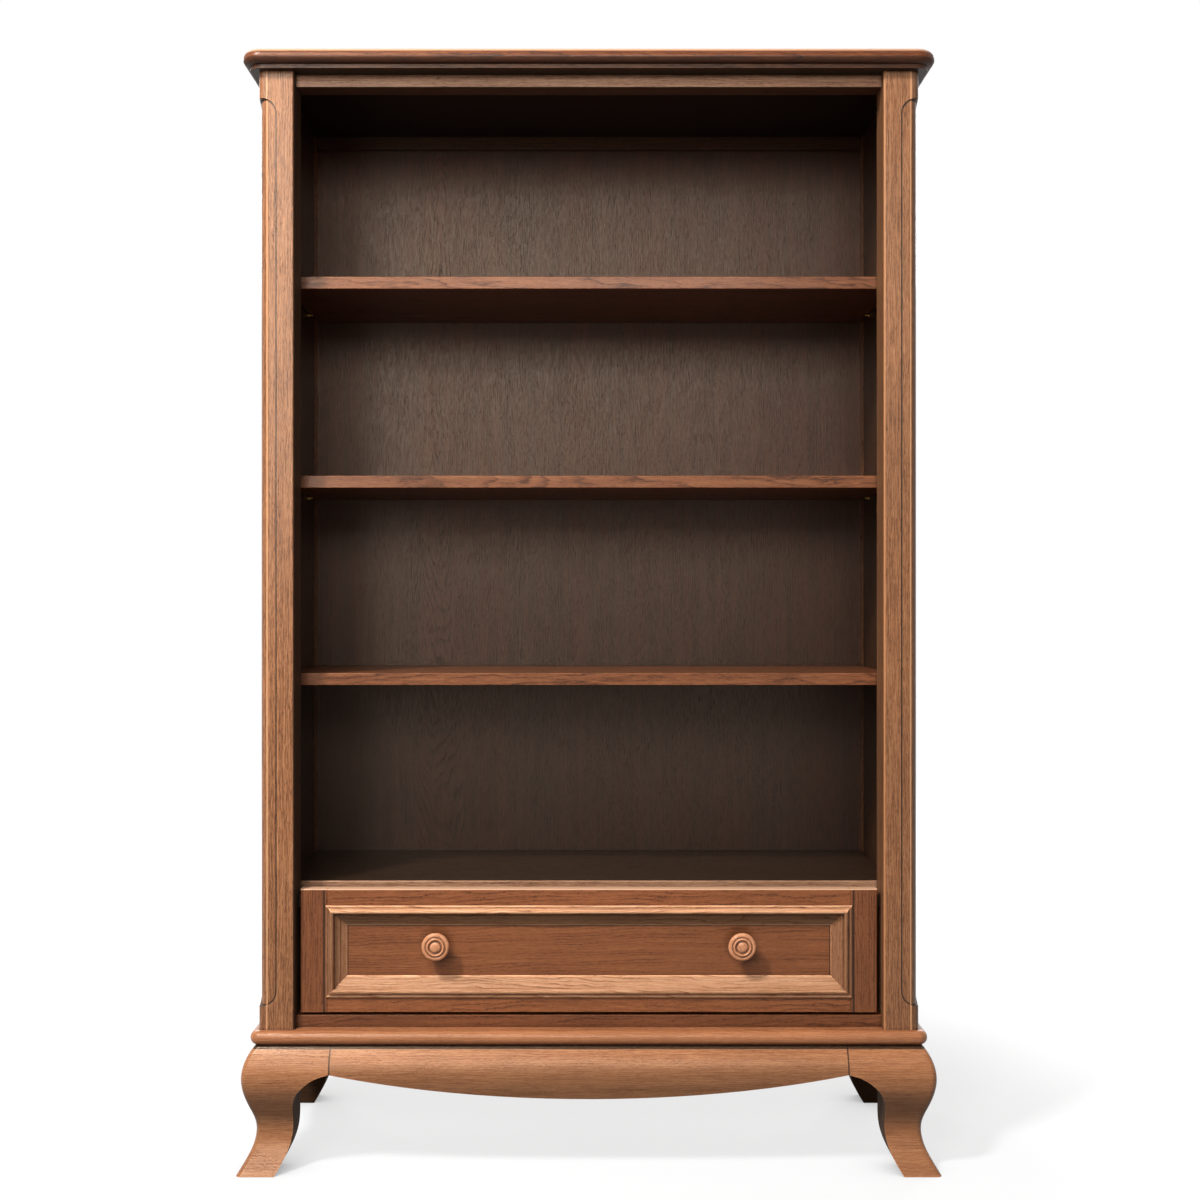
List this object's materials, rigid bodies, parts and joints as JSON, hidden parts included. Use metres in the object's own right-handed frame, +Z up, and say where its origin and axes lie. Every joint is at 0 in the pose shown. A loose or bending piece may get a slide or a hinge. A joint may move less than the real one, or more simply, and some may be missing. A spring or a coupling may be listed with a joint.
{
  "type": "bookcase",
  "caption": "Tall open bookcase in oiled oak: adjustable shelves over a wide framed drawer with turned knobs, rounded top, base moulding and shaped ogee feet.",
  "frame": {"origin": "on the floor, at the centre of the footprint's box in X and Y", "axes": "+Z up, +X to the right of someone facing the bookcase, -Y out of its open front"},
  "size_m": [1.25, 0.464, 2],
  "materials": {
    "oak_top": "satin oiled oak, grain along X",
    "oak_posts": "satin oiled oak, upright grain",
    "oak_sides": "satin oiled oak, upright grain",
    "oak_back": "satin oak veneer, upright grain",
    "oak_shelves": "satin oiled oak, grain along X",
    "oak_rails": "satin oiled oak, grain along X",
    "oak_base": "satin oiled oak, grain along each length",
    "oak_feet": "satin oiled oak, level grain",
    "oak_drawer_frame": "satin oiled oak",
    "oak_drawer_panel": "satin oiled oak, grain along X",
    "oak_moulding": "satin oiled oak, grain along each length",
    "oak_knobs": "satin turned oak",
    "pale_drawer_box": "clear-lacquered birch",
    "plywood": "sanded plywood",
    "beech": "waxed beech",
    "pine": "planed pine",
    "screw_steel": "zinc-plated steel",
    "pin_brass": "polished brass"
  },
  "bodies": {
    "carcass": {"top_board": "oak_top", "top_front_rail": "oak_rails", "top_rear_rail": "oak_rails", "front_post_left": "oak_posts", "front_post_right": "oak_posts", "rear_post_left": "oak_posts", "rear_post_right": "oak_posts", "side_panel_left": "oak_sides", "side_panel_right": "oak_sides", "back_panel": "oak_back", "shelf_upper": "oak_shelves", "shelf_middle": "oak_shelves", "shelf_lower": "oak_shelves", "shelf_pins": "pin_brass", "drawer_deck": "oak_shelves", "deck_front_rail": "pine", "deck_cleat_left": "pine", "deck_cleat_right": "pine", "drawer_guide_left": "oak_rails", "drawer_guide_right": "oak_rails", "drawer_runner_left": "beech", "drawer_runner_right": "beech", "runner_screws": "screw_steel", "bottom_rail": "oak_rails", "bottom_board": "plywood", "base_moulding_front": "oak_base", "base_moulding_left": "oak_base", "base_moulding_right": "oak_base", "base_rear_rail": "oak_rails", "front_foot_left": "oak_feet", "front_foot_right": "oak_feet", "rear_foot_left": "oak_feet", "rear_foot_right": "oak_feet", "front_apron": "oak_feet", "side_apron_left": "oak_feet", "side_apron_right": "oak_feet", "rear_apron": "oak_rails", "glue_blocks": "pine", "top_dowels": "beech", "foot_dowels": "beech", "back_panel_screws": "screw_steel"},
    "drawer": {"drawer_stile_left": "oak_drawer_frame", "drawer_stile_right": "oak_drawer_frame", "drawer_rail_top": "oak_drawer_frame", "drawer_rail_bottom": "oak_drawer_frame", "drawer_panel": "oak_drawer_panel", "drawer_moulding_top": "oak_moulding", "drawer_moulding_bottom": "oak_moulding", "drawer_moulding_left": "oak_moulding", "drawer_moulding_right": "oak_moulding", "drawer_sub_front": "pale_drawer_box", "drawer_side_left": "pale_drawer_box", "drawer_side_right": "pale_drawer_box", "drawer_back": "pale_drawer_box", "drawer_bottom": "plywood", "knob_left": "oak_knobs", "knob_right": "oak_knobs", "knob_screws": "screw_steel", "drawer_front_screws": "screw_steel"}
  },
  "joints": [
    {"name": "drawer_slide", "type": "slide", "parent": "carcass", "child": "drawer", "axis": [0, -1, 0], "range_m": [0, 0.28]}
  ]
}
